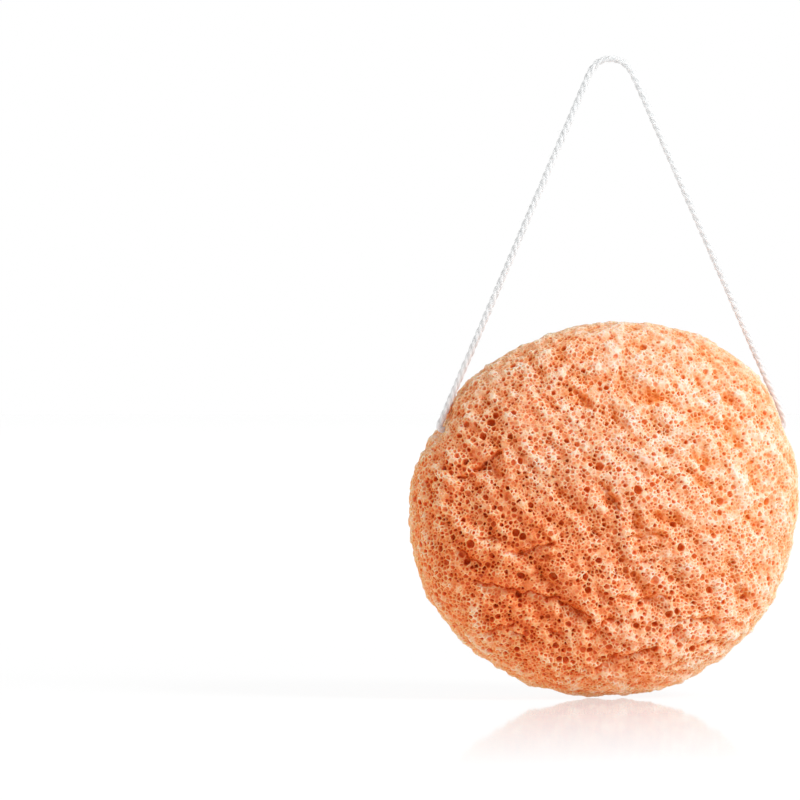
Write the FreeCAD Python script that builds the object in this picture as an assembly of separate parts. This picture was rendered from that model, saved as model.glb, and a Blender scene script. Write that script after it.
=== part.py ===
import FreeCAD, Part
import math
import os

# A round moulded face sponge that hangs from a loop of thin cotton cord.
# Sizes are in millimetres. +Z is up, the domed face looks along -Y and the flat back along +Y.
# The origin is inside the top of the loop, where a hook or peg carries the cord.

# Sponge: a hand-moulded dome, a little longer one way than the other
SPONGE_LONG = 82.4
SPONGE_SHORT = 77.6
LONG_WAY_TILT = 28.0  # degrees that the long way rises to the right
CROWN_RISE = 18.5  # from the widest line forward to the middle of the domed face
RIM_RADIUS = 12.0  # rounding of the rim, towards the face and towards the back
BACK_DEPTH = 11.5  # from the widest line to the flat back

# Folds pressed into the face, each as (start, end, depth), with (X, Z) ends from the sponge's middle.
# On the left of each, seen from its start, is a steep lip, and on its right a gentle bed.
FOLDS = [
    ((-30.6, -14.8), (-22.0, -16.9), 1.4),
    ((-23.6, -16.6), (-12.4, -18.6), 1.5),
    ((-14.4, -18.5), (-7.0, -22.2), 1.3),
    ((-25.2, -9.6), (-14.6, -6.6), 1.5),
    ((-34.6, -7.6), (-29.2, -11.8), 1.2),
    ((-28.0, -25.7), (-21.4, -22.8), 1.1),
    ((-23.9, -24.2), (-18.8, -27.2), 1.2),
    ((-6.8, -27.4), (-3.2, -22.6), 1.1),
    ((-5.2, -33.6), (1.2, -29.7), 1.1),
    ((-1.4, -31.3), (8.6, -28.0), 1.1),
    ((8.4, -27.8), (13.8, -23.4), 1.4),
    ((11.2, -22.8), (23.6, -23.6), 1.5),
    ((1.2, -19.1), (10.6, -18.2), 1.3),
    ((0.0, -5.7), (9.0, -5.2), 1.0),
    ((4.4, -0.4), (11.0, -3.6), 1.0),
    ((21.6, -10.0), (25.0, -15.6), 1.0),
    ((24.4, -15.8), (28.8, -19.6), 1.0),
    ((25.4, -1.4), (30.0, -5.2), 1.0),
    ((-31.4, 7.6), (-25.0, 12.4), 1.6),
    ((-5.8, 6.4), (-0.4, -0.8), 1.5),
    ((-9.9, 25.2), (-6.0, 20.2), 1.1),
    ((-5.2, 21.2), (0.6, 16.6), 1.2),
    ((-18.0, 25.0), (-13.2, 20.4), 1.0),
    ((-1.6, 25.6), (3.8, 21.6), 1.1),
    ((3.4, 24.0), (9.8, 21.8), 1.2),
    ((21.0, 18.2), (25.8, 12.2), 1.2),
    ((21.6, 23.8), (26.4, 20.2), 1.1),
    ((5.2, 8.4), (12.2, 5.0), 1.0),
    ((17.2, 5.6), (21.0, 0.6), 1.0),
]
LIP_SLOPE = 0.6  # how far the lip goes sideways for each millimetre of depth
BED_SLOPE = 2.2  # the same for the bed
FOLD_ROOM = 1.0  # how far the shape that presses a fold stands out of the face

# Cord and the holes that it goes through
CORD_DIAMETER = 1.3
HOLES_BELOW_HOOK = 76.5
HOLES_ABOVE_MIDDLE = 16.5
CHANNEL_CLEARANCE = 0.05  # all round the cord
MOUTH_DEPTH = 4.0  # each hole widens where the bent cord has drawn the foam in
MOUTH_RADIUS = 4.4

# Free loop of the cord, as (X, Z) points: out of the left hole, up, over the hook and down
HOLES_Z = -HOLES_BELOW_HOOK
TOP_Z = CORD_DIAMETER / 2
LOOP_ROUTE = [
    (-34.4, HOLES_Z),
    (-36.2, HOLES_Z),
    (-37.2, HOLES_Z + 1.5),
    (-4.0, TOP_Z),
    (4.0, TOP_Z),
    (38.7, HOLES_Z + 1.5),
    (37.7, HOLES_Z),
    (35.9, HOLES_Z),
]
ARC_SHARE = 0.45  # how much of the shorter run beside a corner its arc takes up

# Knot that joins the cord's ends, in a pocket in the middle of the sponge
KNOT_WRAPS = 4
KNOT_PITCH = 1.2
TAIL_LENGTH = 2.2
TAIL_SPACING = 0.05  # between a tail and the cord beside it
POCKET_CLEARANCE = 0.3

MEAN_RADIUS = (SPONGE_LONG + SPONGE_SHORT) / 4
RIM_CENTRE = MEAN_RADIUS - RIM_RADIUS
CROWN_RADIUS = (RIM_CENTRE**2 + CROWN_RISE**2 - RIM_RADIUS**2) / (2 * (CROWN_RISE - RIM_RADIUS))
MIDDLE_Z = HOLES_Z - HOLES_ABOVE_MIDDLE
CORD_RADIUS = CORD_DIAMETER / 2
WRAP_RADIUS = 2 * CORD_RADIUS  # from the knot's axis to the middle of a wrap
KNOT_HALF = KNOT_WRAPS * KNOT_PITCH / 2
TAIL_OFFSET = CORD_DIAMETER + TAIL_SPACING

CENTRE = FreeCAD.Vector(0, 0, 0)
ACROSS = FreeCAD.Vector(1, 0, 0)
BACK = FreeCAD.Vector(0, 1, 0)
CROWN_CENTRE = BACK * (CROWN_RADIUS - CROWN_RISE)


def arc(start, middle, end):
    """An arc edge through three points."""
    return Part.Arc(start, middle, end).toShape()


def line(start, end):
    """A straight edge."""
    return Part.LineSegment(start, end).toShape()


def dome():
    """The round dome about the Y axis, before it is stretched: a crown arc, a rim arc and a back."""
    join_angle = math.atan2(RIM_CENTRE, CROWN_CENTRE.y)

    def at_angle(angle):
        return CROWN_CENTRE + (ACROSS * math.sin(angle) - BACK * math.cos(angle)) * CROWN_RADIUS

    apex = at_angle(0)
    join = at_angle(join_angle)
    widest = FreeCAD.Vector(MEAN_RADIUS, 0, 0)
    back_edge = FreeCAD.Vector(RIM_CENTRE, RIM_RADIUS, 0)
    back_middle = FreeCAD.Vector(0, RIM_RADIUS, 0)
    edges = [
        arc(apex, at_angle(join_angle / 2), join),
        arc(join, widest, back_edge),
        line(back_edge, back_middle),
        line(back_middle, apex),
    ]
    return Part.Face(Part.Wire(edges)).revolve(CENTRE, BACK, 360)


def stretch():
    """The matrix that draws a shape out along the tilted long way and draws it in across that."""
    turn = FreeCAD.Placement(CENTRE, FreeCAD.Rotation(BACK, -LONG_WAY_TILT)).toMatrix()
    scale = FreeCAD.Matrix()
    scale.scale(SPONGE_LONG / 2 / MEAN_RADIUS, 1, SPONGE_SHORT / 2 / MEAN_RADIUS)
    return turn * scale * turn.inverse()


def on_face(place):
    """The point of the smooth face at an (X, Z) place."""
    flat = FreeCAD.Vector(place[0], 0, place[1])
    before_stretch = stretch().inverse().multVec(flat)
    height = math.sqrt(CROWN_RADIUS**2 - before_stretch.Length**2)
    return flat + CROWN_CENTRE - BACK * height


def fold(start, end, depth):
    """The wheel with a sharp rim that presses a fold into the face, deepest halfway along it."""
    first, last = on_face(start), on_face(end)
    half = (last - first) * 0.5
    middle = on_face([(a + b) / 2 for a, b in zip(start, end)])
    outwards = middle - CROWN_CENTRE
    outwards = (outwards - half * (outwards.dot(half) / half.dot(half))).normalize()
    bottom = middle - outwards * depth
    dip = outwards.dot(first + half - bottom)  # of the rim below the straight line between its ends
    radius = (half.dot(half) + dip**2) / (2 * dip)
    centre = bottom + outwards * radius
    to_lip = outwards.cross(half)
    reach = depth + FOLD_ROOM
    lip = Part.makeCone(radius, radius - reach, LIP_SLOPE * reach, centre, to_lip)
    bed = Part.makeCone(radius, radius - reach, BED_SLOPE * reach, centre, -to_lip)
    return lip.fuse(bed)


def channel():
    """Everything the cord takes up inside the sponge: straight hole, widened mouths, knot pocket."""
    radius = CORD_RADIUS + CHANNEL_CLEARANCE
    left, right = LOOP_ROUTE[0][0], LOOP_ROUTE[-1][0]
    hole = Part.makeCylinder(
        radius, SPONGE_LONG, FreeCAD.Vector(-SPONGE_LONG / 2, 0, HOLES_Z), ACROSS
    )
    pocket_radius = TAIL_OFFSET + CORD_RADIUS + POCKET_CLEARANCE
    pocket_half = KNOT_HALF + TAIL_LENGTH + POCKET_CLEARANCE
    pocket = Part.makeCylinder(
        pocket_radius, 2 * pocket_half, FreeCAD.Vector(-pocket_half, 0, HOLES_Z), ACROSS
    )
    mouths = [
        Part.makeCone(radius, MOUTH_RADIUS, MOUTH_DEPTH, FreeCAD.Vector(x, 0, HOLES_Z), outwards)
        for x, outwards in ((left, -ACROSS), (right, ACROSS))
    ]
    return hole.multiFuse([pocket, *mouths])


def sponge_body():
    """The sponge, hung with its centre of mass straight below the hook."""
    body = dome().transformGeometry(stretch())
    behind = Part.makeBox(
        2 * SPONGE_LONG, RIM_RADIUS, 2 * SPONGE_LONG, FreeCAD.Vector(-SPONGE_LONG, BACK_DEPTH, -SPONGE_LONG)
    )
    body = body.cut(behind).Solids[0]
    hang = FreeCAD.Vector(0, -body.CenterOfMass.y, MIDDLE_Z)
    folds = [fold(*values).translated(hang) for values in FOLDS]
    return body.translated(hang).cut([channel(), *folds]).Solids[0]


def rounded_path(points):
    """Straight runs joined by tangent arcs, with each arc as large as its runs allow."""
    edges = []
    radii = []
    last = points[0]
    for before, corner, after in zip(points, points[1:], points[2:]):
        inwards = (before - corner).normalize()
        outwards = (after - corner).normalize()
        half_turn = (math.pi - inwards.getAngle(outwards)) / 2
        reach = ARC_SHARE * min((before - corner).Length, (after - corner).Length)
        radius = reach / math.tan(half_turn)
        begin = corner + inwards * reach
        finish = corner + outwards * reach
        to_centre = (inwards + outwards).normalize()
        middle = corner + to_centre * (radius / math.cos(half_turn) - radius)
        edges += [line(last, begin), arc(begin, middle, finish)]
        radii.append(radius)
        last = finish
    edges.append(line(last, points[-1]))
    return Part.Wire(edges), radii


def cord_loop():
    """The free loop as one tube."""
    points = [FreeCAD.Vector(x, 0, z) for x, z in LOOP_ROUTE]
    path, radii = rounded_path(points)
    section = Part.Wire(Part.makeCircle(CORD_RADIUS, points[0], points[1] - points[0]))
    tube = path.makePipeShell([section], True, False)
    expected = math.pi * CORD_RADIUS**2 * path.Length
    print("loop bend radii", [round(radius, 2) for radius in radii])
    print("loop length %.2f, volume %.3f, section times length %.3f" % (path.Length, tube.Volume, expected))
    return tube


def cord_threaded(start, end):
    """A straight stretch of cord in the channel."""
    begin = FreeCAD.Vector(min(start, end), 0, HOLES_Z)
    return Part.makeCylinder(CORD_RADIUS, abs(end - start), begin, ACROSS)


def cord_knot():
    """A barrel knot: side by side wraps round the cord, and the two trimmed tails."""
    half = KNOT_PITCH / 2
    valley = WRAP_RADIUS + math.sqrt(CORD_RADIUS**2 - half**2)
    outline = []
    for wrap in range(KNOT_WRAPS):
        middle = (wrap + 0.5) * KNOT_PITCH - KNOT_HALF
        outline.append(
            arc(
                FreeCAD.Vector(middle - half, valley, 0),
                FreeCAD.Vector(middle, WRAP_RADIUS + CORD_RADIUS, 0),
                FreeCAD.Vector(middle + half, valley, 0),
            )
        )
    corners = [
        FreeCAD.Vector(KNOT_HALF, valley, 0),
        FreeCAD.Vector(KNOT_HALF, 0, 0),
        FreeCAD.Vector(-KNOT_HALF, 0, 0),
        FreeCAD.Vector(-KNOT_HALF, valley, 0),
    ]
    outline += [line(start, end) for start, end in zip(corners, corners[1:])]
    knot = Part.Face(Part.Wire(outline)).revolve(CENTRE, ACROSS, 360)
    for side in (-1, 1):
        start = FreeCAD.Vector(side * (KNOT_HALF - half), 0, side * TAIL_OFFSET)
        tail = Part.makeCylinder(CORD_RADIUS, half + TAIL_LENGTH, start, ACROSS * side)
        knot = knot.fuse(tail).Solids[0]
    knot.translate(FreeCAD.Vector(0, 0, HOLES_Z))
    return knot


pieces = {
    "sponge_body": sponge_body(),
    "cord_loop": cord_loop(),
    "cord_threaded_left": cord_threaded(LOOP_ROUTE[0][0], -KNOT_HALF),
    "cord_threaded_right": cord_threaded(KNOT_HALF, LOOP_ROUTE[-1][0]),
    "cord_knot": cord_knot(),
}
os.makedirs("parts", exist_ok=True)
for name, shape in pieces.items():
    box = shape.BoundBox
    print(name, "valid", shape.isValid(), "solids", len(shape.Solids), "volume %.2f" % shape.Volume)
    print("  box", [round(v, 2) for v in (box.XMin, box.YMin, box.ZMin, box.XMax, box.YMax, box.ZMax)])
    shape.exportStep("parts/%s.step" % name)
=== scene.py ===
import math

import bpy
import numpy as np
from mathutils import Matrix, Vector


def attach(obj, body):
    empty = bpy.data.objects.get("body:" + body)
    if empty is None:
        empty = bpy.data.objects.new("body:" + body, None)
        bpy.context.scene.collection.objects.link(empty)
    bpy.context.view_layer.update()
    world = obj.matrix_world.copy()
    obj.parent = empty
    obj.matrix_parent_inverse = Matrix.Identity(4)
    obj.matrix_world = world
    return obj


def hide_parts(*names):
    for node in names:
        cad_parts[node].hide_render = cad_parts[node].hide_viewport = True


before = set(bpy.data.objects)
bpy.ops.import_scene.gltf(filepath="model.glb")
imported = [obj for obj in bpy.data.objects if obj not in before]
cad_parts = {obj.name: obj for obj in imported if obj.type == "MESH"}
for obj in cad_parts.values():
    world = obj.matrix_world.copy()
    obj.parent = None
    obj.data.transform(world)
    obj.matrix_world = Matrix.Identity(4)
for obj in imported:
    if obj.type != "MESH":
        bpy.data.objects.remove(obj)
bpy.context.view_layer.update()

MM = 0.001
UP = Vector((0, 0, 1))

# Camera, level and a little to the left of square on to the face
SPONGE_MIDDLE = Vector((0, 0.0014, -0.093))
MIDDLE_RIGHT_OF_FRAME = 0.0429
MIDDLE_BELOW_FRAME = 0.0226
FRAME_WIDTH = 0.1668
CAMERA_DISTANCE = 1.0
CAMERA_AZIMUTH = math.radians(-11)
SENSOR_WIDTH = 36

# Cord, in millimetres: control points of the free loop's line, as (X, Z), from the left hole to the right one
CORD_DIAMETER = 1.3
HOLES_Z = -76.5
TOP_Z = CORD_DIAMETER / 2
LOOP_ROUTE = [
    (-34.4, HOLES_Z),
    (-36.0, HOLES_Z),
    (-35.4, HOLES_Z + 1.5),
    (-5.7, -6.9),
    (-2.6, TOP_Z),
    (4.0, TOP_Z),
    (7.4, -6.4),
    (36.3, -70.4),
    (38.4, HOLES_Z + 1.6),
    (37.3, HOLES_Z),
    (35.9, HOLES_Z),
]
STRANDS = 3
STRAND_RADIUS = 0.375
STRAND_OFFSET = 0.34
TWIST_LENGTH = 5.6  # along the cord for one turn of a strand
CORD_SIDES = 60
YARNS = 9  # fine ridges along each strand
YARN_RELIEF = 0.025
YARN_LAY, YARN_SHIFT = 3, 2
RING_STEP = 0.11
TWIST_WANDER, WANDER_PLACES = 0.12, 40  # unevenness of the twist, in radians, and how often it changes
SWELL_SPREAD, SWELL_PLACES = 0.03, 90  # unevenness of the strands' thickness
KNOT_HALF = 2.4
KNOT_TURNS = 4
KNOT_STEPS = 14  # in each turn
TAIL_START = 0.6
TAIL_LENGTH = 2.2
TAIL_OFFSET = 1.35
FIBRES = 420  # loose ones that stand off the cord
FIBRE_RADIUS = 0.016
FIBRE_ROOT = 0.55  # from the cord's middle
FIBRE_LENGTHS = (0.5, 1.5)
FIBRE_RISES = (0.15, 0.45)
FIBRE_LEAN, FIBRE_BEND, FIBRE_TAPER = 0.25, 1.6, 1.1
FIBRE_POINTS, FIBRE_SIDES = 6, 3

# Foam: the dome's profile, as in the solid, in millimetres from the sponge's middle. The outline's waves are
# shares of the radius, as (waves round the sponge, cosine, sine), and it is flatter where the sponge stands.
MEAN_RADIUS = 40.0
RIM_RADIUS = 12.0
CROWN_RISE = 18.5
BACK_DEPTH = 11.5
WIDEST_Y = 1.393
LONG_STRETCH = 41.2 / MEAN_RADIUS
SHORT_STRETCH = 38.8 / MEAN_RADIUS
LONG_WAY_TILT = math.radians(28)
MIDDLE_Z = -93.0
OUTLINE_MEAN = 1.0105
OUTLINE_WAVES = [
    (1, 0.0072, -0.0034),
    (2, 0.0094, -0.0012),
    (3, -0.0121, 0.0051),
    (4, -0.0041, 0.0017),
    (5, -0.0036, 0.0),
]
STAND_DEPTH, STAND_ANGLE, STAND_WIDTH = 0.014, math.radians(262), math.radians(28)
FACE_BAND, BACK_BAND = (0.004, 0.646), (0.654, 0.996)  # of the texture's height
MAP_HALF = 0.496

# Hollows where the cord has drawn the foam in, and behind each hole, the (Y, Z) way that the cord presses as
# the sponge swings
MOUTH_DEPTH = 1.7
MOUTH_RADIUS = 3.6
MOUTH_LEAST_X = 25  # on either side
PRESSED_WAY = np.array([0.866, 0.5])
PRESSED_LENGTH = 10.0
PRESSED_SHALLOWER = 0.025  # for each millimetre from the hole
RIGHT_HOLE = np.array([37.0, 0.0, HOLES_Z - MIDDLE_Z])

# Relief of the surface, each as (height, wavelength) in millimetres
LUMPS = (0.30, 19)
SWELLS = (0.25, 7)
RIPPLES = (0.13, 3.6)
GRIT = (0.09, 1.9)
FOLD_WANDER = (0.20, 3.0)
SLIT_BREAKS = 2.4  # wavelength
MANY_WAVES, FEW_WAVES = 48, 24
WAVE_SPREAD = (0.7, 1.4)
GRAIN = np.array([0.7, 0.0, -0.7])  # the way that the swells run
GRAIN_PULL = 0.75
RIPPLE_GRAIN = 0.9 * GRAIN
RIM_FLATTER = 0.65
BACK_FLATTER = 0.45
BACK_FROM = 0.9 * BACK_DEPTH

# Cells of the foam, in millimetres
FACE_RINGS = 520
BACK_RINGS = 300
FOAM_SEED = 11
CELL_GRID = 0.2
CELL_MARGIN = 2
CELL_OVERLAP = 0.06
# Sizes of the cells, as (places tried, smallest and largest radius of their seeds)
CELL_SIZES = [(500, 0.55, 0.75), (60000, 0.36, 0.56), (160000, 0.27, 0.38)]
CELL_BUCKET = 1.1
SEED_DEPTHS = (-0.35, 1.2)
SEED_JITTER = 0.04
LARGE_PORE_SINK = (0.2, 0.5)  # share of the pore's radius
STRUT_HALF = 0.055
STRUT_FLANK = 0.10
WINDOW_SHARE = 0.6  # of the smaller cell's radius
WINDOWS_OPEN = 0.35
MOST_ROOM = 0.8
DEEPEST = 1.5
CORNER_ROUNDING = 4
FAR = 99
LEAST_CLOSING, LEAST_GAP, LEAST_SPACING = 1e-6, 1e-4, 1e-9
# Films close most cells at a share of their depth, and leave others ajar
OPEN_SHARE = 0.45
OPEN_LOSS_ON_PALE = 0.10
OPEN_SPREAD, OPEN_WAVELENGTH = 0.10, 9
AJAR_FILMS, CLOSED_FILMS = (0.6, 1), (0.15, 0.6)
ALWAYS_AJAR_RADIUS = 0.54
# Pores are shallower on the pale side, and less so near the right hole, where the cord needs the room
PALE_SHALLOWER, AWAY_SHALLOWER = 0.25, 0.2
HOLE_EASE = 6
PALE_GROWTH = 1.4
CREASE_FILL = 0.6  # share of a cell's depth that a crease closes

# Depth of the foam's colour, from 0 to 1: what each form adds to it or takes off. Much of it is painted light
# and shade: painted shade in cells, pits and creases, and painted light on raised places and on flanks that
# face the key light.
BASE_TONE = 0.28
# deeper colour in the cells than on the struts, more where their films lie deep: partly the foam's own paler
# struts, partly painted shade
CELL_TONE_AND_SHADE, FILM_SHADE_TONES = 0.20, (0.4, 0.6)
# painted shade, deeper with the depth of each pit
DEPTH_SHADE_TONE = 0.50
# painted shade in the closed creases at the bottom of the folds
CREASE_SHADE_TONE = 0.50
# painted light and shade from the relief: raised swells and ripples paler, fold beds on the pale side deeper
RELIEF_LIGHT_TONE, SWELL_LIGHT_TONE, FOLD_SHADE_TONE = 0.75, 0.25, 0.4
# painted light and shade on the flanks of the swells, by the way that they face
FACING_LIGHT_TONE = 0.35
LIT_SIDE = np.array([0.6, -0.55, 0.55])  # the way towards the key light: flanks that face it are painted paler and flanks turned away deeper
SHADE_PATCH_TONE, SHADE_PATCH_PLACE, SHADE_PATCH_RADIUS = 0.25, (-20, -14), 13  # a painted shade patch of deeper colour at the lower left, at (X, Z)
BLOTCH_TONE, GRAIN_TONE, NOISE_MEAN = 0.24, 0.34, 0.29
KEY_LIGHT_WAY = (0.72, 0.58)  # the (X, Z) way towards the key light, along which the foam is painted paler: partly its own tone, partly painted light
# how much of the lit side's colours is mixed in, growing towards the upper right and less near the rim there:
# partly painted light
LIT_MIX_MIDDLE, LIT_MIX_GROWTH, RIM_LIT_MIX_LOSS = 0.5, 0.75, 0.4
# Colours by that depth, for the shaded lower left and the lit upper right: shaded and lit copies of the one
# foam, partly its own tone and partly painted light
SHADED_COLOURS = [
    (0.0, (0.99, 0.57, 0.375)),
    (0.25, (0.985, 0.412, 0.184)),
    (0.50, (0.925, 0.262, 0.081)),
    (0.75, (0.80, 0.16, 0.037)),
    (1.0, (0.66, 0.096, 0.0125)),
]
LIT_COLOURS = [
    (0.0, (0.96, 0.78, 0.70)),
    (0.25, (0.96, 0.665, 0.495)),
    (0.50, (0.95, 0.505, 0.275)),
    (0.75, (0.92, 0.36, 0.125)),
    (1.0, (0.90, 0.265, 0.047)),
]
COTTON_COLOURS = [(0.25, (0.69, 0.705, 0.71)), (0.7, (0.74, 0.755, 0.76))]

# Stage and light, in metres and watts: lamps as (name, place, size, power)
FLOOR_Z = (MIDDLE_Z - 39.4) * MM
FLOOR_REACH = 20.0
FLOOR_GLOW, SURROUND_LIGHT = 0.7, 0.42  # for rays that don't show them
LAMPS = [("key", (0.46, -0.42, 0.36), 0.26, 4.5), ("fill", (-0.8, 0.0, 0.15), 0.5, 1.4)]

# Folds pressed into the face, each as (start, end, depth) in millimetres, with (X, Z) ends from the sponge's
# middle. On the left of each, seen from its start, is a steep lip, and on its right a gentle bed.
FOLDS = [
    ((-30.6, -14.8), (-22.0, -16.9), 1.4),
    ((-23.6, -16.6), (-12.4, -18.6), 1.5),
    ((-14.4, -18.5), (-7.0, -22.2), 1.3),
    ((-25.2, -9.6), (-14.6, -6.6), 1.5),
    ((-34.6, -7.6), (-29.2, -11.8), 1.2),
    ((-28.0, -25.7), (-21.4, -22.8), 1.1),
    ((-23.9, -24.2), (-18.8, -27.2), 1.2),
    ((-6.8, -27.4), (-3.2, -22.6), 1.1),
    ((-5.2, -33.6), (1.2, -29.7), 1.1),
    ((-1.4, -31.3), (8.6, -28.0), 1.1),
    ((8.4, -27.8), (13.8, -23.4), 1.4),
    ((11.2, -22.8), (23.6, -23.6), 1.5),
    ((1.2, -19.1), (10.6, -18.2), 1.3),
    ((0.0, -5.7), (9.0, -5.2), 1.0),
    ((4.4, -0.4), (11.0, -3.6), 1.0),
    ((21.6, -10.0), (25.0, -15.6), 1.0),
    ((24.4, -15.8), (28.8, -19.6), 1.0),
    ((25.4, -1.4), (30.0, -5.2), 1.0),
    ((-31.4, 7.6), (-25.0, 12.4), 1.6),
    ((-5.8, 6.4), (-0.4, -0.8), 1.5),
    ((-9.9, 25.2), (-6.0, 20.2), 1.1),
    ((-5.2, 21.2), (0.6, 16.6), 1.2),
    ((-18.0, 25.0), (-13.2, 20.4), 1.0),
    ((-1.6, 25.6), (3.8, 21.6), 1.1),
    ((3.4, 24.0), (9.8, 21.8), 1.2),
    ((21.0, 18.2), (25.8, 12.2), 1.2),
    ((21.6, 23.8), (26.4, 20.2), 1.1),
    ((5.2, 8.4), (12.2, 5.0), 1.0),
    ((17.2, 5.6), (21.0, 0.6), 1.0),
]
FOLD_REACH = 4  # to each side, for each millimetre of depth
LIP_WIDTH = 0.45
BED_SLOPE = 2.2  # how far the bed goes sideways for each millimetre of depth
BED_EASE, BED_POWER, LEAST_DEPTH = 1.3, 1.5, 0.1
SLIT_DEPTH = 0.32  # of the closed crease at the bottom of a fold
SLIT_WIDTH = 0.34
SLIT_GROWTH = 1.2  # how soon a slit is whole, for each millimetre of depth
SLIT_SHARE, SLIT_SPREAD = 0.55, 0.6  # of it that is left where it breaks up
# Folds are softer towards the pale side: wider lips, no slits and a little less depth
SOFT_START, SOFT_GROWTH = 0.35, 1.6
SOFT_LIP = 2.0
FOLD_SHARE, SOFT_FOLD_LOSS = 0.95, 0.2
# Creases too slight for the solid, in the same form
CREASES = [
    ((-4.2, -23.2), (0.4, -22.3), 0.8),
    ((-2.2, -17.4), (2.2, -18.9), 0.7),
    ((1.4, 0.2), (2.0, -4.6), 0.9),
    ((-35.0, 6.2), (-29.6, 7.8), 0.9),
    ((-10.4, 31.0), (-4.4, 29.8), 0.7),
    ((1.6, 15.6), (4.0, 12.4), 0.8),
    ((7.8, 13.2), (11.6, 9.8), 0.8),
    ((24.2, 20.0), (32.6, 18.8), 0.8),
    ((15.6, 11.0), (19.0, 8.2), 0.8),
    ((-15.8, -25.0), (-11.6, -26.0), 0.7),
    ((-30.0, -5.4), (-25.4, -6.4), 0.8),
    ((15.4, 27.4), (21.6, 23.8), 0.7),
    ((-7.2, -3.6), (-5.0, -7.0), 0.7),
    ((3.0, -11.2), (6.4, -10.0), 0.6),
    ((2.2, -6.6), (3.2, -9.4), 0.6),
]

# The largest pores of the face, as (X, Z, radius) in millimetres from the sponge's middle
LARGE_PORES = [
    (-26.7, 18.0, 1.0), (-25.8, 19.4, 0.8), (-21.2, 29.6, 0.95), (-10.9, 33.4, 0.75), (-3.0, 25.1, 0.7),
    (-28.5, 15.2, 0.85), (-23.4, 15.3, 0.7), (-33.8, 11.2, 0.65), (-36.2, 8.6, 0.65), (-32.2, 10.0, 0.7),
    (-27.4, 7.6, 0.6), (-12.0, 14.2, 0.65), (-25.6, 0.3, 0.65), (-22.8, 0.2, 0.65), (-19.5, 1.0, 0.7),
    (-22.5, -4.5, 0.95), (-21.2, -5.3, 0.9), (-21.3, -13.3, 1.0), (-21.4, -17.4, 0.9), (-15.0, -13.4, 0.95),
    (-15.9, -1.9, 0.7), (-13.4, -2.5, 0.7), (-32.8, -2.1, 0.65), (-31.5, -6.9, 1.0), (-33.0, -9.0, 0.85),
    (-31.7, -10.8, 0.85), (-36.9, -8.0, 0.7), (-5.5, -10.3, 0.85), (-8.5, -13.7, 0.8), (-7.6, -16.4, 0.8),
    (-12.8, -19.0, 0.8), (-6.8, -23.0, 0.75), (-11.2, -23.6, 0.8), (-13.4, -27.9, 0.8), (-12.4, -31.0, 0.85),
    (-11.2, -31.1, 0.8), (-6.3, -31.0, 0.65), (-21.0, -28.8, 0.75), (-26.2, -29.3, 0.7), (-25.5, -21.9, 0.65),
    (0.3, -12.3, 0.8), (6.5, -14.5, 1.0), (10.1, -14.2, 0.8), (18.6, -16.8, 0.95), (10.0, -21.6, 0.9),
    (7.0, -23.6, 0.75), (3.0, -24.0, 0.75), (15.8, -28.9, 1.0), (7.3, -28.7, 0.9), (12.8, -28.2, 0.75),
    (11.8, -7.8, 0.95), (14.8, -9.7, 0.75), (10.1, -3.1, 0.8), (16.8, -14.0, 0.75), (20.5, 1.6, 0.9),
    (31.6, 1.5, 0.85), (26.8, -23.9, 0.75), (19.5, -27.4, 0.75), (2.3, 4.3, 1.0), (11.6, 25.6, 0.7),
    (16.6, 8.6, 0.75), (22.7, 3.1, 0.75), (6.0, 33.5, 0.85), (4.2, 18.2, 0.75), (-5.6, 9.0, 0.95),
]


def mesh_object(name, points, faces):
    """A mesh object from an array of points in metres and an array of faces of equal size."""
    points = np.asarray(points, np.float32)
    faces = np.asarray(faces, np.int32)
    sides = faces.shape[1]
    mesh = bpy.data.meshes.new(name)
    mesh.vertices.add(len(points))
    mesh.vertices.foreach_set("co", points.ravel())
    mesh.loops.add(faces.size)
    mesh.loops.foreach_set("vertex_index", faces.ravel())
    mesh.polygons.add(len(faces))
    mesh.polygons.foreach_set("loop_start", np.arange(0, faces.size, sides, dtype=np.int32))
    mesh.update(calc_edges=True)
    mesh.polygons.foreach_set("use_smooth", np.full(len(faces), True))
    piece = bpy.data.objects.new(name, mesh)
    bpy.context.scene.collection.objects.link(piece)
    return piece


# Cord

def spline_points(route):
    """Points along the smooth NURBS line that has the route's points as its control points, in metres."""
    curve = bpy.data.curves.new("route", "CURVE")
    curve.dimensions = "3D"
    spline = curve.splines.new("NURBS")
    spline.points.add(len(route) - 1)
    for point, place in zip(spline.points, route):
        point.co = (*place, 1)
    spline.order_u = 3
    spline.use_endpoint_u = True
    spline.resolution_u = 24
    holder = bpy.data.objects.new("route", curve)
    bpy.context.scene.collection.objects.link(holder)
    bpy.context.view_layer.update()
    line = bpy.data.meshes.new_from_object(holder.evaluated_get(bpy.context.evaluated_depsgraph_get()))
    points = np.array([vertex.co for vertex in line.vertices], float)
    bpy.data.objects.remove(holder)
    bpy.data.curves.remove(curve)
    bpy.data.meshes.remove(line)
    return points


def evenly(points, step):
    """The same line with points a step apart."""
    lengths = np.concatenate([[0], np.cumsum(np.linalg.norm(np.diff(points, axis=0), axis=1))])
    places = np.linspace(0, lengths[-1], max(4, int(lengths[-1] / step)))
    line = np.stack([np.interp(places, lengths, points[:, axis]) for axis in range(3)], axis=1)
    return line, places


def cross_ways(line, side):
    """Two directions across a line at each point, the first as near as can be to the given side."""
    tangents = np.gradient(line, axis=0)
    tangents /= np.linalg.norm(tangents, axis=1)[:, None]
    first = side - tangents * (tangents @ side)[:, None]
    first /= np.linalg.norm(first, axis=1)[:, None]
    return first, np.cross(tangents, first)


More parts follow.
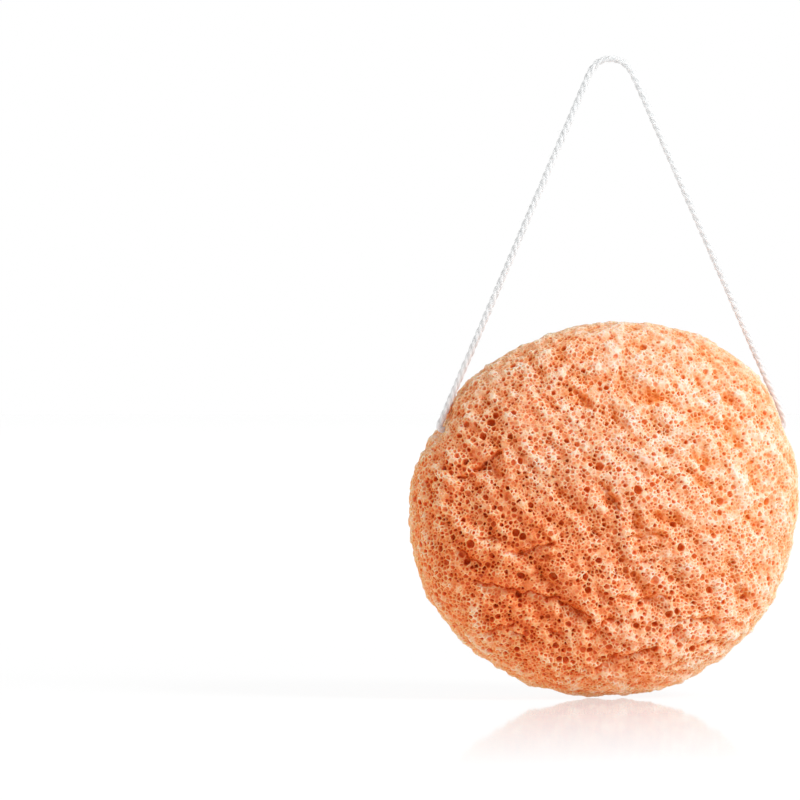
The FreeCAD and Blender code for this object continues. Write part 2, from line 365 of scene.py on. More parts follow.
def tube(line, side, radii, angles):
    """Points and faces of a closed tube round a line: radii and angles are by ring and by side."""
    first, second = cross_ways(line, side)
    ring_count, side_count = radii.shape
    around = np.cos(angles)[..., None] * first[:, None] + np.sin(angles)[..., None] * second[:, None]
    points = line[:, None] + radii[..., None] * around
    ring = np.arange(ring_count - 1)[:, None] * side_count
    here = np.arange(side_count)[None]
    after = (here + 1) % side_count
    faces = np.stack(
        [ring + here, ring + after, ring + after + side_count, ring + here + side_count], axis=-1
    )
    return points.reshape(-1, 3), faces.reshape(-1, 4)


def twisted(route_points, side, seed):
    """Strands laid up round the smooth line of a route: their points and faces in metres, and the line."""
    line, places = evenly(spline_points(route_points), RING_STEP * MM)
    random = np.random.default_rng(seed)
    along = np.linspace(0, places[-1], WANDER_PLACES)
    wander = np.interp(places, along, random.normal(0, TWIST_WANDER, WANDER_PLACES))
    turn = wander - 2 * math.pi * places / (TWIST_LENGTH * MM)
    corners = np.linspace(0, 2 * math.pi, CORD_SIDES, endpoint=False)
    # outside of the strands, from the cord's middle
    strand = np.rint(corners * STRANDS / (2 * math.pi))
    off = corners - strand * 2 * math.pi / STRANDS
    profile = STRAND_OFFSET * np.cos(off) + np.sqrt(STRAND_RADIUS**2 - (STRAND_OFFSET * np.sin(off)) ** 2)
    yarns = 1 + YARN_RELIEF * np.cos(YARNS * off[None] - YARN_LAY * turn[:, None] + YARN_SHIFT * strand[None])
    along = np.linspace(0, places[-1], SWELL_PLACES)
    swells = np.stack(
        [
            np.interp(places, along, random.normal(1, SWELL_SPREAD, SWELL_PLACES))
            for _ in range(STRANDS)
        ],
        axis=1,
    )
    radii = MM * profile[None] * yarns * swells[:, strand.astype(int) % STRANDS]
    points, faces = tube(line, side, radii, corners[None] + turn[:, None])
    return points, faces, line


def joined(parts):
    """Several (points, faces) as one."""
    points, faces, count = [], [], 0
    for part_points, part_faces in parts:
        points.append(part_points)
        faces.append(part_faces + count)
        count += len(part_points)
    return np.concatenate(points), np.concatenate(faces)


def fuzz(line, count, seed):
    """Loose cotton fibres that stand off a cord's line, as points and faces."""
    random = np.random.default_rng(seed)
    parts = []
    for index in random.integers(2, len(line) - 2, count):
        along = line[index + 1] - line[index - 1]
        along /= np.linalg.norm(along)
        out = np.cross(along, random.normal(size=3))
        out /= np.linalg.norm(out)
        length = random.uniform(*FIBRE_LENGTHS) * MM
        lean = random.choice([-1, 1]) * along + FIBRE_LEAN * random.normal(size=3)
        start = line[index] + out * FIBRE_ROOT * MM
        share = np.linspace(0, 1, FIBRE_POINTS)[:, None]
        rise = random.uniform(*FIBRE_RISES)
        fibre = start + lean * length * share + out * length * rise * share * (FIBRE_BEND - share)
        radii = np.full((FIBRE_POINTS, FIBRE_SIDES), FIBRE_RADIUS * MM) * (FIBRE_TAPER - share)
        angles = np.linspace(0, 2 * math.pi, FIBRE_SIDES, endpoint=False)
        angles = np.tile(angles, (FIBRE_POINTS, 1))
        parts.append(tube(fibre, np.cross(along, out), radii, angles))
    return joined(parts)


def flat_route(points):
    """A route of (X, Z) points in millimetres, in the cord's plane, in metres."""
    return [(x * MM, 0, z * MM) for x, z in points]


def cord_pieces():
    """The free loop, the stretches in the channel and the knot."""
    depth = np.array([0.0, 1.0, 0.0])
    points, faces, loop_line = twisted(flat_route(LOOP_ROUTE), depth, 1)
    loop = mesh_object("cord_loop_strands", *joined([(points, faces), fuzz(loop_line, FIBRES, 2)]))
    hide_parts("cord_loop")
    threaded = []
    for name, start, end, seed in (
        ("left", LOOP_ROUTE[0][0], -KNOT_HALF, 3),
        ("right", KNOT_HALF, LOOP_ROUTE[-1][0], 4),
    ):
        route = flat_route([(start, HOLES_Z), ((start + end) / 2, HOLES_Z), (end, HOLES_Z)])
        points, faces, _ = twisted(route, depth, seed)
        stretch = mesh_object("cord_threaded_%s_strands" % name, points, faces)
        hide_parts("cord_threaded_" + name)
        threaded.append(stretch)
    wraps = []
    for index in range(KNOT_TURNS * KNOT_STEPS + 1):
        angle = 2 * math.pi * index / KNOT_STEPS
        share = index / (KNOT_TURNS * KNOT_STEPS)
        wraps.append(
            (
                (share - 0.5) * 2 * (KNOT_HALF - CORD_DIAMETER / 2) * MM,
                CORD_DIAMETER * math.cos(angle) * MM,
                (HOLES_Z + CORD_DIAMETER * math.sin(angle)) * MM,
            )
        )
    core = flat_route([(-KNOT_HALF, HOLES_Z), (0, HOLES_Z), (KNOT_HALF, HOLES_Z)])
    tails = [
        flat_route(
            [
                (turn * (KNOT_HALF - TAIL_START), HOLES_Z + turn * TAIL_OFFSET),
                (turn * (KNOT_HALF + TAIL_START), HOLES_Z + turn * TAIL_OFFSET),
                (turn * (KNOT_HALF + TAIL_LENGTH), HOLES_Z + turn * TAIL_OFFSET),
            ]
        )
        for turn in (-1, 1)
    ]
    parts = [twisted(wraps, np.array([1.0, 0.0, 0.0]), 5)[:2]]
    parts += [twisted(route, depth, 6 + index)[:2] for index, route in enumerate([core, *tails])]
    knot = mesh_object("cord_knot_strands", *joined(parts))
    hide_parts("cord_knot")
    pieces = [loop, *threaded, knot]
    for piece in pieces:
        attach(piece, "cord")
    return pieces


# Foam

def disc_lattice(rings):
    """A triangular lattice in six sectors: ring and angle of each point, and the triangles."""
    ring = [np.zeros(1)]
    angle = [np.zeros(1)]
    triangles = []
    first = 0
    for index in range(1, rings + 1):
        count = 6 * index
        ring.append(np.full(count, float(index)))
        angle.append(2 * math.pi * np.arange(count) / count)
        start = 1 + 3 * index * (index - 1)
        inner_count = max(1, 6 * (index - 1))
        step = np.arange(index)
        for sector in range(6):
            outer = start + (sector * index + step) % count
            outer_next = start + (sector * index + step + 1) % count
            inner = first + (sector * (index - 1) + step) % inner_count
            triangles.append(np.stack([inner, outer, outer_next], axis=1))
            if index > 1:
                inner_next = first + (sector * (index - 1) + step[:-1] + 1) % inner_count
                triangles.append(np.stack([inner[:-1], outer_next[:-1], inner_next], axis=1))
        first = start
    return np.concatenate(ring), np.concatenate(angle), np.concatenate(triangles)


def profile_place(share, front):
    """Radius and Y of the dome's profile, from its middle (0) to its widest line (1)."""
    rim_centre = MEAN_RADIUS - RIM_RADIUS
    if front:
        crown_radius = (rim_centre**2 + CROWN_RISE**2 - RIM_RADIUS**2) / (2 * (CROWN_RISE - RIM_RADIUS))
        crown_centre = crown_radius - CROWN_RISE
        join = math.atan2(rim_centre, crown_centre)
        crown_length = crown_radius * join
        rim_length = RIM_RADIUS * (math.pi / 2 - join)
        along = share * (crown_length + rim_length)
        on_rim = along > crown_length
        turn = np.where(on_rim, join + (along - crown_length) / RIM_RADIUS, along / crown_radius)
        radius = np.where(on_rim, rim_centre + RIM_RADIUS * np.sin(turn), crown_radius * np.sin(turn))
        depth = np.where(on_rim, -RIM_RADIUS * np.cos(turn), crown_centre - crown_radius * np.cos(turn))
    else:
        edge = math.asin(BACK_DEPTH / RIM_RADIUS)
        flat = rim_centre + RIM_RADIUS * math.cos(edge)
        along = share * (flat + RIM_RADIUS * edge)
        on_rim = along > flat
        turn = edge - (along - flat) / RIM_RADIUS
        radius = np.where(on_rim, rim_centre + RIM_RADIUS * np.cos(turn), along)
        depth = np.where(on_rim, RIM_RADIUS * np.sin(turn), BACK_DEPTH)
    return radius, depth


def outline_share(angle):
    """How far the hand-moulded outline is from the ellipse, as a share of the radius."""
    share = OUTLINE_MEAN
    for order, cosine, sine in OUTLINE_WAVES:
        share = share + cosine * np.cos(order * angle)
        share = share + sine * np.sin(order * angle)
    from_stand = np.mod(angle, 2 * math.pi) - STAND_ANGLE
    return share - STAND_DEPTH * np.exp(-((from_stand / STAND_WIDTH) ** 2))


def map_place(share, angle, front):
    """Place in the texture of a point of the face's or the back's disc: a square with the disc's rings."""
    sector = np.round(angle / (math.pi / 2)) * (math.pi / 2)
    lean = share * (angle - sector) / (math.pi / 4)
    across = share * np.cos(sector) - lean * np.sin(sector)
    above = share * np.sin(sector) + lean * np.cos(sector)
    low, high = FACE_BAND if front else BACK_BAND
    return np.stack([0.5 + MAP_HALF * across, low + (high - low) * (0.5 + 0.5 * above)], axis=-1)


def seam_faces(face_count, back_count):
    """Triangles between two rings with different numbers of points, as indices into each ring."""
    edge = np.arange(face_count)
    facing = ((edge + 0.5) * back_count / face_count).astype(int) % back_count
    from_face = np.stack([(edge + 1) % face_count, edge, face_count + facing], axis=1)
    edge = np.arange(back_count)
    facing = np.ceil((edge + 1) * face_count / back_count - 0.5).astype(int) % face_count
    from_back = np.stack([face_count + edge, face_count + (edge + 1) % back_count, facing], axis=1)
    return np.concatenate([from_face, from_back])


def closed_dome():
    """Points of the closed dome in millimetres from the sponge's middle, its triangles and its texture map."""
    ring, angle, face_triangles = disc_lattice(FACE_RINGS)
    share = ring / FACE_RINGS
    back_ring, back_angle, back_triangles = disc_lattice(BACK_RINGS)
    back_share = back_ring / (BACK_RINGS + 1)
    back_triangles = back_triangles[:, ::-1]
    parts = []
    for part_share, part_angle, front in ((share, angle, True), (back_share, back_angle, False)):
        radius, depth = profile_place(part_share, front)
        parts.append(np.stack([radius * np.cos(part_angle), depth, radius * np.sin(part_angle)], axis=1))
    points = np.concatenate(parts)
    face_rim, back_rim = 6 * FACE_RINGS, 6 * BACK_RINGS
    rims = np.concatenate([
        np.arange(len(share) - face_rim, len(share)),
        np.arange(len(points) - back_rim, len(points)),
    ])
    seam = seam_faces(face_rim, back_rim)
    rim_share = np.concatenate([share[-face_rim:], back_share[-back_rim:]])
    rim_angle = np.concatenate([angle[-face_rim:], back_angle[-back_rim:]])
    faces = np.concatenate([face_triangles, back_triangles + len(share), rims[seam]])
    corner_maps = np.concatenate([
        map_place(share, angle, True)[face_triangles],
        map_place(back_share, back_angle, False)[back_triangles],
        map_place(rim_share, rim_angle, False)[seam],
    ])
    # stretched along the tilted long way, and out to the moulded outline
    swell = outline_share(np.arctan2(points[:, 2], points[:, 0]))
    x, z = points[:, 0] * swell, points[:, 2] * swell
    along = LONG_STRETCH * (x * math.cos(LONG_WAY_TILT) + z * math.sin(LONG_WAY_TILT))
    across = SHORT_STRETCH * (z * math.cos(LONG_WAY_TILT) - x * math.sin(LONG_WAY_TILT))
    points[:, 0] = along * math.cos(LONG_WAY_TILT) - across * math.sin(LONG_WAY_TILT)
    points[:, 2] = along * math.sin(LONG_WAY_TILT) + across * math.cos(LONG_WAY_TILT)
    points[:, 1] += WIDEST_Y
    return points, faces, corner_maps


def outward(points, faces):
    """Unit normals at the points of a closed mesh."""
    corners = points[faces]
    across = np.cross(corners[:, 1] - corners[:, 0], corners[:, 2] - corners[:, 0])
    normals = np.stack(
        [
            sum(np.bincount(faces[:, corner], across[:, axis], len(points)) for corner in range(3))
            for axis in range(3)
        ],
        axis=1,
    )
    return normals / np.linalg.norm(normals, axis=1)[:, None]


def waves(points, wavelength, random, count=MANY_WAVES, grain=None):
    """A smooth random field of unit spread; grain is a direction that its swells run along."""
    heading = random.normal(size=(count, 3))
    if grain is not None:
        heading -= GRAIN_PULL * np.outer(heading @ grain, grain)
    heading /= np.linalg.norm(heading, axis=1)[:, None]
    heading *= (2 * math.pi / wavelength) * random.uniform(*WAVE_SPREAD, count)[:, None]
    phase = random.uniform(0, 2 * math.pi, count)
    field = np.zeros(len(points))
    for direction, start in zip(heading, phase):
        field += np.cos(points @ direction + start)
    return field / math.sqrt(count / 2)


def fold_depth(points, wander, lips, fold):
    """How deep a fold cuts at each point of the face, and how far the point is in its crease, from 0 to 1."""
    start, end, depth = np.array(fold[0]), np.array(fold[1]), fold[2]
    run = end - start
    length = np.linalg.norm(run)
    run /= length
    offset = points[:, [0, 2]] + wander - start
    place = offset @ run / length
    to_left = run[0] * offset[:, 1] - run[1] * offset[:, 0]
    near = (place > 0) & (place < 1) & (np.abs(to_left) < FOLD_REACH * depth) & (points[:, 1] < 0)
    here = depth * (1 - np.abs(2 * place[near] - 1) ** 3)
    beside = to_left[near]
    lip = np.exp(-((beside / lips[near]) ** 2))
    bed_width = BED_EASE * BED_SLOPE * np.maximum(here, LEAST_DEPTH)
    bed = np.clip(1 + beside / bed_width, 0, 1) ** BED_POWER
    cut, crease = np.zeros((2, len(points)))
    cut[near] = here * np.where(beside > 0, lip, bed)
    crease[near] = np.minimum(1, SLIT_GROWTH * here) * np.exp(-((beside / SLIT_WIDTH) ** 2))
    return cut, crease


def toward_key_light(points):
    """How far a point lies towards the key light, from -1 at the lower left to 1 at the upper right; the foam
    is painted paler that way, partly its own tone and partly painted light.
    """
    return np.clip((KEY_LIGHT_WAY[0] * points[:, 0] + KEY_LIGHT_WAY[1] * points[:, 2]) / MEAN_RADIUS, -1, 1)


def nearness_to_rim(points):
    """How near points are to the rim, from 0 in the middle to 1."""
    return np.clip(np.hypot(points[:, 0], points[:, 2]) / MEAN_RADIUS, 0, 1)


def moulded(points, random):
    """How far the surface is moulded outwards, in millimetres, the relief that paints light and shade into its
    colour, and its slits.
    """
    rise = LUMPS[0] * waves(points, LUMPS[1], random)
    swells = SWELLS[0] * waves(points, SWELLS[1], random, grain=GRAIN)
    rise = (rise + swells) * (1 - RIM_FLATTER * nearness_to_rim(points) ** 4)
    fine = RIPPLES[0] * waves(points, RIPPLES[1], random, grain=RIPPLE_GRAIN)
    fine = fine + GRIT[0] * waves(points, GRIT[1], random)
    rise += fine
    rise *= np.where(points[:, 1] > BACK_FROM, BACK_FLATTER, 1)
    wander = [waves(points, FOLD_WANDER[1], random, FEW_WAVES) for _ in range(2)]
    wander = FOLD_WANDER[0] * np.stack(wander, axis=1)
    folded, creased = np.zeros((2, len(points)))
    softer = np.clip(SOFT_START + SOFT_GROWTH * toward_key_light(points), 0, 1)
    lips = LIP_WIDTH * (1 + SOFT_LIP * softer)
    for fold in FOLDS + CREASES:
        cut, crease = fold_depth(points, wander, lips, fold)
        folded = np.maximum(folded, cut)
        creased = np.maximum(creased, crease)
    from_hole = np.stack([points[:, 1], points[:, 2] - HOLES_Z + MIDDLE_Z], axis=1)
    along = np.clip(from_hole @ PRESSED_WAY, 0, PRESSED_LENGTH)
    off = np.linalg.norm(from_hole - along[:, None] * PRESSED_WAY, axis=1)
    shallower = 1 - PRESSED_SHALLOWER * along
    mouth = MOUTH_DEPTH * shallower * np.exp(-((off / (MOUTH_RADIUS * shallower)) ** 2))
    rise -= np.where(np.abs(points[:, 0]) > MOUTH_LEAST_X, mouth, 0)
    broken = waves(points, SLIT_BREAKS, np.random.default_rng(FOAM_SEED + 1), FEW_WAVES)
    creased *= (1 - softer) * np.clip(SLIT_SHARE + SLIT_SPREAD * broken, 0, 1)
    rise -= folded * (FOLD_SHARE - SOFT_FOLD_LOSS * softer) + SLIT_DEPTH * creased
    # the relief's painted light and shade: raised places paler, fold beds on the pale side deeper
    return rise, SWELL_LIGHT_TONE * swells + fine - FOLD_SHADE_TONE * softer * folded, creased


class Packing:
    """Round seeds of the cells packed near the surface, and a grid of the room left between them."""

    def __init__(self, points):
        self.low = points.min(0) - CELL_MARGIN
        size = np.ceil((points.max(0) + CELL_MARGIN - self.low) / CELL_GRID).astype(int)
        self.room = np.full(size, MOST_ROOM, np.float32)
        self.centres, self.radii = [], []

    def add(self, centre, radius):
        """Places a seed, and takes its room."""
        reach = radius + MOST_ROOM
        first = [max(0, int((centre[axis] - reach - self.low[axis]) / CELL_GRID)) for axis in range(3)]
        last = [int((centre[axis] + reach - self.low[axis]) / CELL_GRID) + 2 for axis in range(3)]
        window = self.room[tuple(slice(begin, finish) for begin, finish in zip(first, last))]
        away = [
            (np.arange(first[axis], first[axis] + window.shape[axis], dtype=np.float32) * CELL_GRID
             + (self.low[axis] - centre[axis])) ** 2
            for axis in range(3)
        ]
        distance = np.sqrt(away[0][:, None, None] + away[1][None, :, None] + away[2][None, None]) - radius
        np.minimum(window, distance, out=window)
        self.centres.append(centre)
        self.radii.append(radius)

    def fill(self, centres, targets, smallest):
        """Places a seed wherever there is room for it, as large as the room or its target allows."""
        index = np.rint((centres - self.low) / CELL_GRID).astype(int)
        snapped = index * CELL_GRID + self.low
        for (i, j, k), centre, target in zip(index.tolist(), snapped, targets.tolist()):
            space = float(self.room[i, j, k]) + CELL_OVERLAP
            if space >= smallest:
                self.add(centre, min(target, space))


def foam_cells(points, normals, random):
    """Centres and radii of the cells that the surface cuts, and of the ones just below it."""
    packing = Packing(points)
    face = np.flatnonzero(points[:, 1] < 0)
    for x, z, radius in LARGE_PORES:
        index = face[np.argmin((points[face, 0] - x) ** 2 + (points[face, 2] - z) ** 2)]
        sink = normals[index] * random.uniform(*LARGE_PORE_SINK) * radius
        packing.add(points[index] - sink, radius)
    for tries, smallest, largest in CELL_SIZES:
        index = random.integers(0, len(points), tries)
        centres = points[index] - normals[index] * random.uniform(*SEED_DEPTHS, tries)[:, None]
        packing.fill(centres, random.uniform(smallest, largest, tries), smallest)
    centres = np.array(packing.centres)
    return centres + random.normal(0, SEED_JITTER, centres.shape), np.array(packing.radii)


def pore_depth(points, normals, centres, radii, films, windows):
    """How deep each point's cell goes straight in, how far the point is off the struts, and the cell's film.

    The cells fill all the space, with flat walls between them, as in a foam. The rounded distance to a cell's
    walls leaves thicker struts at its corners. Points on a strut have no depth. A film closes a cell off at a
    share of its depth, and a window opens it into the next one.
    """
    low = points.min(0) - 3 * CELL_BUCKET
    shape = np.ceil((points.max(0) + 3 * CELL_BUCKET - low) / CELL_BUCKET).astype(int)

    def keys_of(places):
        at = np.clip(np.floor((places - low) / CELL_BUCKET).astype(int), 0, shape - 1)
        return (at[:, 0] * shape[1] + at[:, 1]) * shape[2] + at[:, 2]

    cell_keys = keys_of(centres)
    cell_order = np.argsort(cell_keys, kind="stable")
    cell_keys = cell_keys[cell_order]
    centres, radii = centres[cell_order], radii[cell_order]
    films, windows = films[cell_order], windows[cell_order]
    point_keys = keys_of(points)
    point_order = np.argsort(point_keys, kind="stable")
    buckets, begins = np.unique(point_keys[point_order], return_index=True)
    ends = np.append(begins[1:], len(points))
    rows = [(i * shape[1] + j) * shape[2] for i in (-1, 0, 1) for j in (-1, 0, 1)]
    firsts = np.stack([np.searchsorted(cell_keys, buckets + row - 1, "left") for row in rows], axis=1)
    lasts = np.stack([np.searchsorted(cell_keys, buckets + row + 1, "right") for row in rows], axis=1)
    depth, inside, opened_up = np.zeros((3, len(points)))
    for begin, end, first, last in zip(begins.tolist(), ends.tolist(), firsts.tolist(), lasts.tolist()):
        near = np.concatenate([np.arange(start, finish) for start, finish in zip(first, last)])
        here = point_order[begin:end]
        each = np.arange(len(here))
        apart = points[here, None] - centres[None, near]
        inwards = -normals[here]
        towards = np.einsum("ijk,ik->ij", apart, inwards)
        power = np.einsum("ijk,ijk->ij", apart, apart) - radii[near] ** 2
        spacing = np.linalg.norm(centres[near, None] - centres[None, near], axis=2) + LEAST_SPACING
        own = power.argmin(axis=1)
        excess = power - power[each, own][:, None]
        gap = np.maximum(excess / (2 * spacing[own]), LEAST_GAP)
        gap[each, own] = FAR
        to_wall = (gap**-CORNER_ROUNDING).sum(axis=1) ** (-1 / CORNER_ROUNDING)
        closing = towards[each, own][:, None] - towards
        ahead = np.where(
            closing > LEAST_CLOSING, excess / (2 * np.maximum(closing, LEAST_CLOSING)), FAR
        )
        beyond = ahead.argmin(axis=1)
        reach = ahead[each, beyond]
        # through a window in the far wall to the next wall
        meeting = points[here] + inwards * reach[:, None] - centres[near[own]]
        line = (centres[near[beyond]] - centres[near[own]]) / spacing[own, beyond][:, None]
        off_line = (meeting**2).sum(axis=1) - (meeting * line).sum(axis=1) ** 2
        window = WINDOW_SHARE * np.minimum(radii[near[own]], radii[near[beyond]])
        has_window = (windows[near[own]] + windows[near[beyond]]) % 1 < WINDOWS_OPEN
        opened = has_window & (off_line < window**2)
        closing = towards[each, beyond][:, None] - towards
        excess = power - power[each, beyond][:, None]
        further = np.where(
            closing > LEAST_CLOSING, excess / (2 * np.maximum(closing, LEAST_CLOSING)), FAR
        )
        further = np.where(further > reach[:, None] + LEAST_CLOSING, further, FAR).min(axis=1)
        reach = np.minimum(np.where(opened, further, reach), DEEPEST) * films[near[own]]
        side = np.clip((to_wall - STRUT_HALF) / STRUT_FLANK, 0, 1)
        inside[here] = side * side * (3 - 2 * side)
        depth[here] = reach * inside[here]
        opened_up[here] = films[near[own]]
    return depth, inside, opened_up


def smoothed(values, faces):
    """Values at the points of a mesh, each mixed with the mean of its neighbours."""
    edges = np.concatenate([faces[:, [0, 1]], faces[:, [1, 2]], faces[:, [2, 0]]])
    counts = np.bincount(edges[:, 0], minlength=len(values))
    around = np.bincount(edges[:, 0], values[edges[:, 1]], len(values)) / counts
    return 0.5 * values + 0.5 * around


def foam_piece():
    """The porous foam, with its cells, lumps and folds as real shape."""
    random = np.random.default_rng(FOAM_SEED)
    points, faces, corner_maps = closed_dome()
    normals = outward(points, faces)
    rise, relief, creased = moulded(points, random)
    points = points + normals * rise[:, None]
    # how far the relief turns each point towards the key light, for painted light and shade on the flanks
    facing = (outward(points, faces) - normals) @ LIT_SIDE
    centres, radii = foam_cells(points, normals, random)
    count = len(radii)
    share_open = OPEN_SHARE - OPEN_LOSS_ON_PALE * toward_key_light(centres)
    share_open = share_open + OPEN_SPREAD * waves(centres, OPEN_WAVELENGTH, random)
    ajar = random.uniform(*AJAR_FILMS, count)
    closed = random.uniform(*CLOSED_FILMS, count)
    stays_ajar = (random.uniform(0, 1, count) < share_open) | (radii > ALWAYS_AJAR_RADIUS)
    films = np.where(stays_ajar, ajar, closed)
    windows = random.uniform(0, 1, count)
    depth, inside, film = pore_depth(points, normals, centres, radii, films, windows)
    paler = toward_key_light(points)
    from_hole = np.linalg.norm(points - RIGHT_HOLE, axis=1)
    shallow = PALE_SHALLOWER + AWAY_SHALLOWER * np.clip(from_hole / HOLE_EASE - 2, 0, 1)
    shallower = 1 - shallow * np.clip(PALE_GROWTH * paler, 0, 1)
    shaped = smoothed(depth * (1 - CREASE_FILL * creased) * shallower, faces)
    placed = points - normals * shaped[:, None]
    placed[:, 2] += MIDDLE_Z
    foam = mesh_object("sponge_foam", placed * MM, faces)
    mesh = foam.data
    # the colour's depth: a base tone with painted shade in cells, pits and creases and in a patch at the lower
    # left, and painted light on raised places and on flanks facing the key light
    cells = CELL_TONE_AND_SHADE * inside * (FILM_SHADE_TONES[0] + FILM_SHADE_TONES[1] * film) + DEPTH_SHADE_TONE * shaped
    tone = cells + CREASE_SHADE_TONE * creased - RELIEF_LIGHT_TONE * relief - FACING_LIGHT_TONE * facing
    # a painted shade patch at the lower left
    from_shade_patch = (points[:, 0] - SHADE_PATCH_PLACE[0]) ** 2 + (points[:, 2] - SHADE_PATCH_PLACE[1]) ** 2
    tone += BASE_TONE + SHADE_PATCH_TONE * np.exp(-from_shade_patch / SHADE_PATCH_RADIUS**2)
    # share of the lit side's colours, towards the upper right: partly the foam's own tone, partly painted
    # light
    lit_mix = np.clip(LIT_MIX_MIDDLE + LIT_MIX_GROWTH * paler, 0, 1)
    lit_mix = lit_mix - RIM_LIT_MIX_LOSS * np.clip(2 * paler, 0, 1) * nearness_to_rim(points) ** 6
    # the colour's depth, much of it painted light and shade, and the share of the lit side's colours
    for name, values in (("tone_and_painted_light", np.clip(tone, 0, 1)), ("lit_share", lit_mix)):
        attribute = mesh.attributes.new(name, "FLOAT", "POINT")
        attribute.data.foreach_set("value", values.astype(np.float32))
    layer = mesh.uv_layers.new(name="OFBake")
    layer.data.foreach_set("uv", corner_maps.reshape(-1).astype(np.float32))
    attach(foam, "sponge")
    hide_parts("sponge_body")
    return foam


# Materials

def node_adder(tree):
    """A function that adds a node to a tree, with its settings, and its inputs as values or links."""

    def add(kind, inputs=(), **settings):
        node = tree.nodes.new(kind)
        for key, value in settings.items():
            setattr(node, key, value)
        for socket, value in dict(inputs).items():
            if isinstance(value, bpy.types.NodeSocket):
                tree.links.new(value, node.inputs[socket])
            else:
                node.inputs[socket].default_value = value
        return node

    return add


def new_material(name):
    """A node material with its tree, its Principled shader and a function that adds and links nodes."""
    material = bpy.data.materials.new(name)
    material.use_nodes = True
    tree = material.node_tree
    return material, tree, tree.nodes["Principled BSDF"], node_adder(tree)


def calculated(add, operation, *values):
    """The output of a node that calculates with values or with other outputs."""
    return add("ShaderNodeMath", dict(enumerate(values)), operation=operation).outputs[0]


def set_sockets(shader, values):
    """Sets values that are the same all over the surface on a shader's own sockets."""
    for socket, value in values.items():
        shader.inputs[socket].default_value = value


def ramp(node, stops):
    """Sets a colour ramp's stops, as (place, colour)."""
    elements = node.color_ramp.elements
    while len(elements) < len(stops):
        elements.new(0.5)
    for element, (place, colour) in zip(elements, stops):
        element.position = place
        element.color = (*colour, 1)


def foam_material():
    """Pale peach struts and skin over deep orange cells, with a soft glow of light through the foam; its pale
    and deep colours are in part painted light and shade, paler towards the upper right.
    """
    material, tree, shader, add = new_material("konjac_foam")
    place = add("ShaderNodeTexCoord").outputs["Object"]
    # the colour's depth, with its painted light and shade
    tone_and_painted_light = add("ShaderNodeAttribute", attribute_name="tone_and_painted_light").outputs["Fac"]
    blotch = add("ShaderNodeTexNoise", {"Vector": place, "Scale": 90, "Detail": 3}).outputs["Fac"]
    grain = add("ShaderNodeTexNoise", {"Vector": place, "Scale": 2600, "Detail": 4}).outputs["Fac"]
    depth = calculated(add, "MULTIPLY_ADD", blotch, BLOTCH_TONE, tone_and_painted_light)
    depth = calculated(add, "MULTIPLY_ADD", grain, GRAIN_TONE, depth)
    depth = calculated(add, "SUBTRACT", depth, NOISE_MEAN)
    shaded_ramp = add("ShaderNodeValToRGB", {"Fac": depth})
    ramp(shaded_ramp, SHADED_COLOURS)
    pale = add("ShaderNodeValToRGB", {"Fac": depth})
    ramp(pale, LIT_COLOURS)
    # lit and shaded copies of the foam's colours, mixed towards the upper right: partly its own tone, partly
    # painted light
    lit_share = add("ShaderNodeAttribute", attribute_name="lit_share").outputs["Fac"]
    # the mixing node's sockets for colours have numbers, because their names repeat
    colours = add(
        "ShaderNodeMix",
        {0: lit_share, 6: shaded_ramp.outputs["Color"], 7: pale.outputs["Color"]},
        data_type="RGBA",
    )
    tree.links.new(colours.outputs[2], shader.inputs["Base Color"])
    rough = add("ShaderNodeMapRange", {"Value": grain, "To Min": 0.26, "To Max": 0.52})
    tree.links.new(rough.outputs[0], shader.inputs["Roughness"])
    fine = add("ShaderNodeTexNoise", {"Vector": place, "Scale": 1500, "Detail": 5}).outputs["Fac"]
    bump = add("ShaderNodeBump", {"Height": fine, "Strength": 0.5, "Distance": 0.00025})
    tree.links.new(bump.outputs[0], shader.inputs["Normal"])
    set_sockets(
        shader,
        {
            "Subsurface Weight": 1.0,
            "Subsurface Radius": (1.0, 0.7, 0.45),
            "Subsurface Scale": 0.002,
            "Specular IOR Level": 0.1,
        },
    )
    return material


def cord_material():
    """White cotton, with fine fibres along the strands and a little shade between them."""
    material, tree, shader, add = new_material("twisted_cotton")
    place = add("ShaderNodeTexCoord").outputs["Object"]
    blotch = add("ShaderNodeTexNoise", {"Vector": place, "Scale": 700, "Detail": 3}).outputs["Fac"]
    colours = add("ShaderNodeValToRGB", {"Fac": blotch})
    ramp(colours, COTTON_COLOURS)
    tree.links.new(colours.outputs["Color"], shader.inputs["Base Color"])
    fibres = add("ShaderNodeTexNoise", {"Vector": place, "Scale": 5000, "Detail": 4}).outputs["Fac"]
    bump = add("ShaderNodeBump", {"Height": fibres, "Strength": 0.25, "Distance": 0.0001})
    tree.links.new(bump.outputs[0], shader.inputs["Normal"])
    set_sockets(
        shader,
        {
            "Roughness": 0.7,
            "Specular IOR Level": 0.3,
            "Subsurface Weight": 1.0,
            "Subsurface Radius": (1.0, 1.0, 1.0),
            "Subsurface Scale": 0.0022,
        },
    )
    return material


# Stage and light

def set_camera():
    """The photograph's view: level, with the sponge right of and below the middle of the frame."""
    right = Vector((math.cos(CAMERA_AZIMUTH), math.sin(CAMERA_AZIMUTH), 0))
    back = Vector((math.sin(CAMERA_AZIMUTH), -math.cos(CAMERA_AZIMUTH), 0))
    data = bpy.data.cameras.new("camera")
    data.sensor_width = SENSOR_WIDTH
    data.lens = SENSOR_WIDTH * CAMERA_DISTANCE / FRAME_WIDTH
    data.clip_start = 0.01
    camera = bpy.data.objects.new("camera", data)
    bpy.context.scene.collection.objects.link(camera)
    camera.location = (
        SPONGE_MIDDLE - right * MIDDLE_RIGHT_OF_FRAME + UP * MIDDLE_BELOW_FRAME + back * CAMERA_DISTANCE
    )
    camera.rotation_euler = (math.pi / 2, 0, CAMERA_AZIMUTH)
    bpy.context.scene.camera = camera


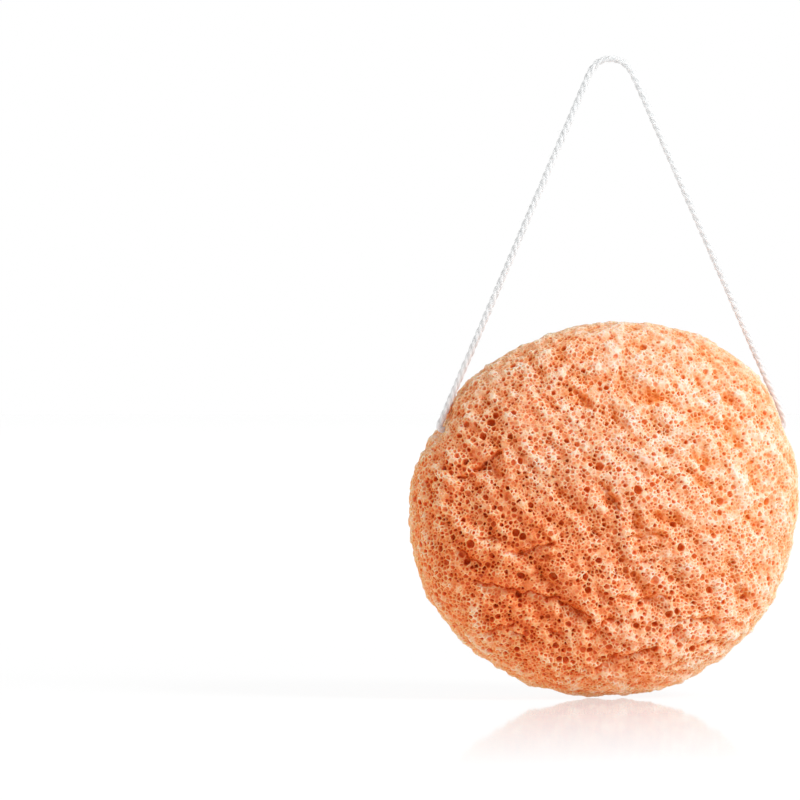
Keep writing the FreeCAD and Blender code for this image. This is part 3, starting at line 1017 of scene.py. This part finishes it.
def area_light(name, place, size, power):
    """A soft square lamp that faces the sponge."""
    data = bpy.data.lights.new(name, "AREA")
    data.size = size
    data.energy = power
    lamp = bpy.data.objects.new(name, data)
    bpy.context.scene.collection.objects.link(lamp)
    lamp.location = place
    lamp.rotation_euler = (SPONGE_MIDDLE - Vector(place)).to_track_quat("-Z", "Y").to_euler()


def seen_directly(add):
    """1 for rays that show what they meet in the picture, a gloss or a clear material, and otherwise 0."""
    rays = add("ShaderNodeLightPath").outputs
    seen = rays["Is Camera Ray"]
    for other in ("Is Glossy Ray", "Is Transmission Ray"):
        seen = calculated(add, "MAXIMUM", seen, rays[other])
    return seen


def pale_floor():
    """A floor that is white far off, with a gloss that grows from the front to below the sponge."""
    material, tree, shader, add = new_material("pale_floor")
    tree.nodes.remove(shader)
    place = add("ShaderNodeNewGeometry").outputs["Position"]
    away = add("ShaderNodeVectorMath", {0: place}, operation="LENGTH").outputs["Value"]
    far = add(
        "ShaderNodeMapRange",
        {"Value": away, "From Min": 0.2, "From Max": 0.9, "To Min": 0.86, "To Max": 1.0},
    )
    glow = add(
        "ShaderNodeMapRange",
        {"Value": seen_directly(add), "To Min": FLOOR_GLOW, "To Max": far.outputs[0]},
    )
    matt = add("ShaderNodeBsdfDiffuse", {"Color": (0.18, 0.18, 0.18, 1)})
    white = add("ShaderNodeEmission", {"Color": (1, 1, 1, 1), "Strength": glow.outputs[0]})
    pale = add("ShaderNodeAddShader", {0: matt.outputs[0], 1: white.outputs[0]})
    shine = add("ShaderNodeBsdfGlossy", {"Color": (1, 1, 1, 1), "Roughness": 0.06})
    y = add("ShaderNodeSeparateXYZ", {0: place}).outputs["Y"]
    share = add(
        "ShaderNodeMapRange",
        {"Value": y, "From Min": -0.19, "From Max": -0.01, "To Min": 0.0, "To Max": 0.45},
    )
    mixed = add("ShaderNodeMixShader", {0: share.outputs[0], 1: pale.outputs[0], 2: shine.outputs[0]})
    tree.links.new(mixed.outputs[0], tree.nodes["Material Output"].inputs["Surface"])
    return material


def set_stage():
    """A pale glossy floor under the sponge, a white surround and two lamps."""
    corners = [
        (x * FLOOR_REACH, y * FLOOR_REACH, FLOOR_Z) for x, y in ((-1, -1), (1, -1), (1, 1), (-1, 1))
    ]
    floor = mesh_object("floor", corners, [(0, 1, 2, 3)])
    floor.data.materials.append(pale_floor())
    world = bpy.data.worlds.new("surround")
    bpy.context.scene.world = world
    world.use_nodes = True
    tree = world.node_tree
    add = node_adder(tree)
    strength = add(
        "ShaderNodeMapRange", {"Value": seen_directly(add), "To Min": SURROUND_LIGHT, "To Max": 1.0}
    )
    background = tree.nodes["Background"]
    background.inputs["Color"].default_value = (1, 1, 1, 1)
    tree.links.new(strength.outputs[0], background.inputs["Strength"])
    for lamp in LAMPS:
        area_light(*lamp)
    bpy.context.scene.view_settings.view_transform = "Standard"


set_camera()
cords = cord_pieces()
foam = foam_piece()
cotton = cord_material()
for piece in cords:
    piece.data.materials.append(cotton)
foam.data.materials.append(foam_material())
set_stage()
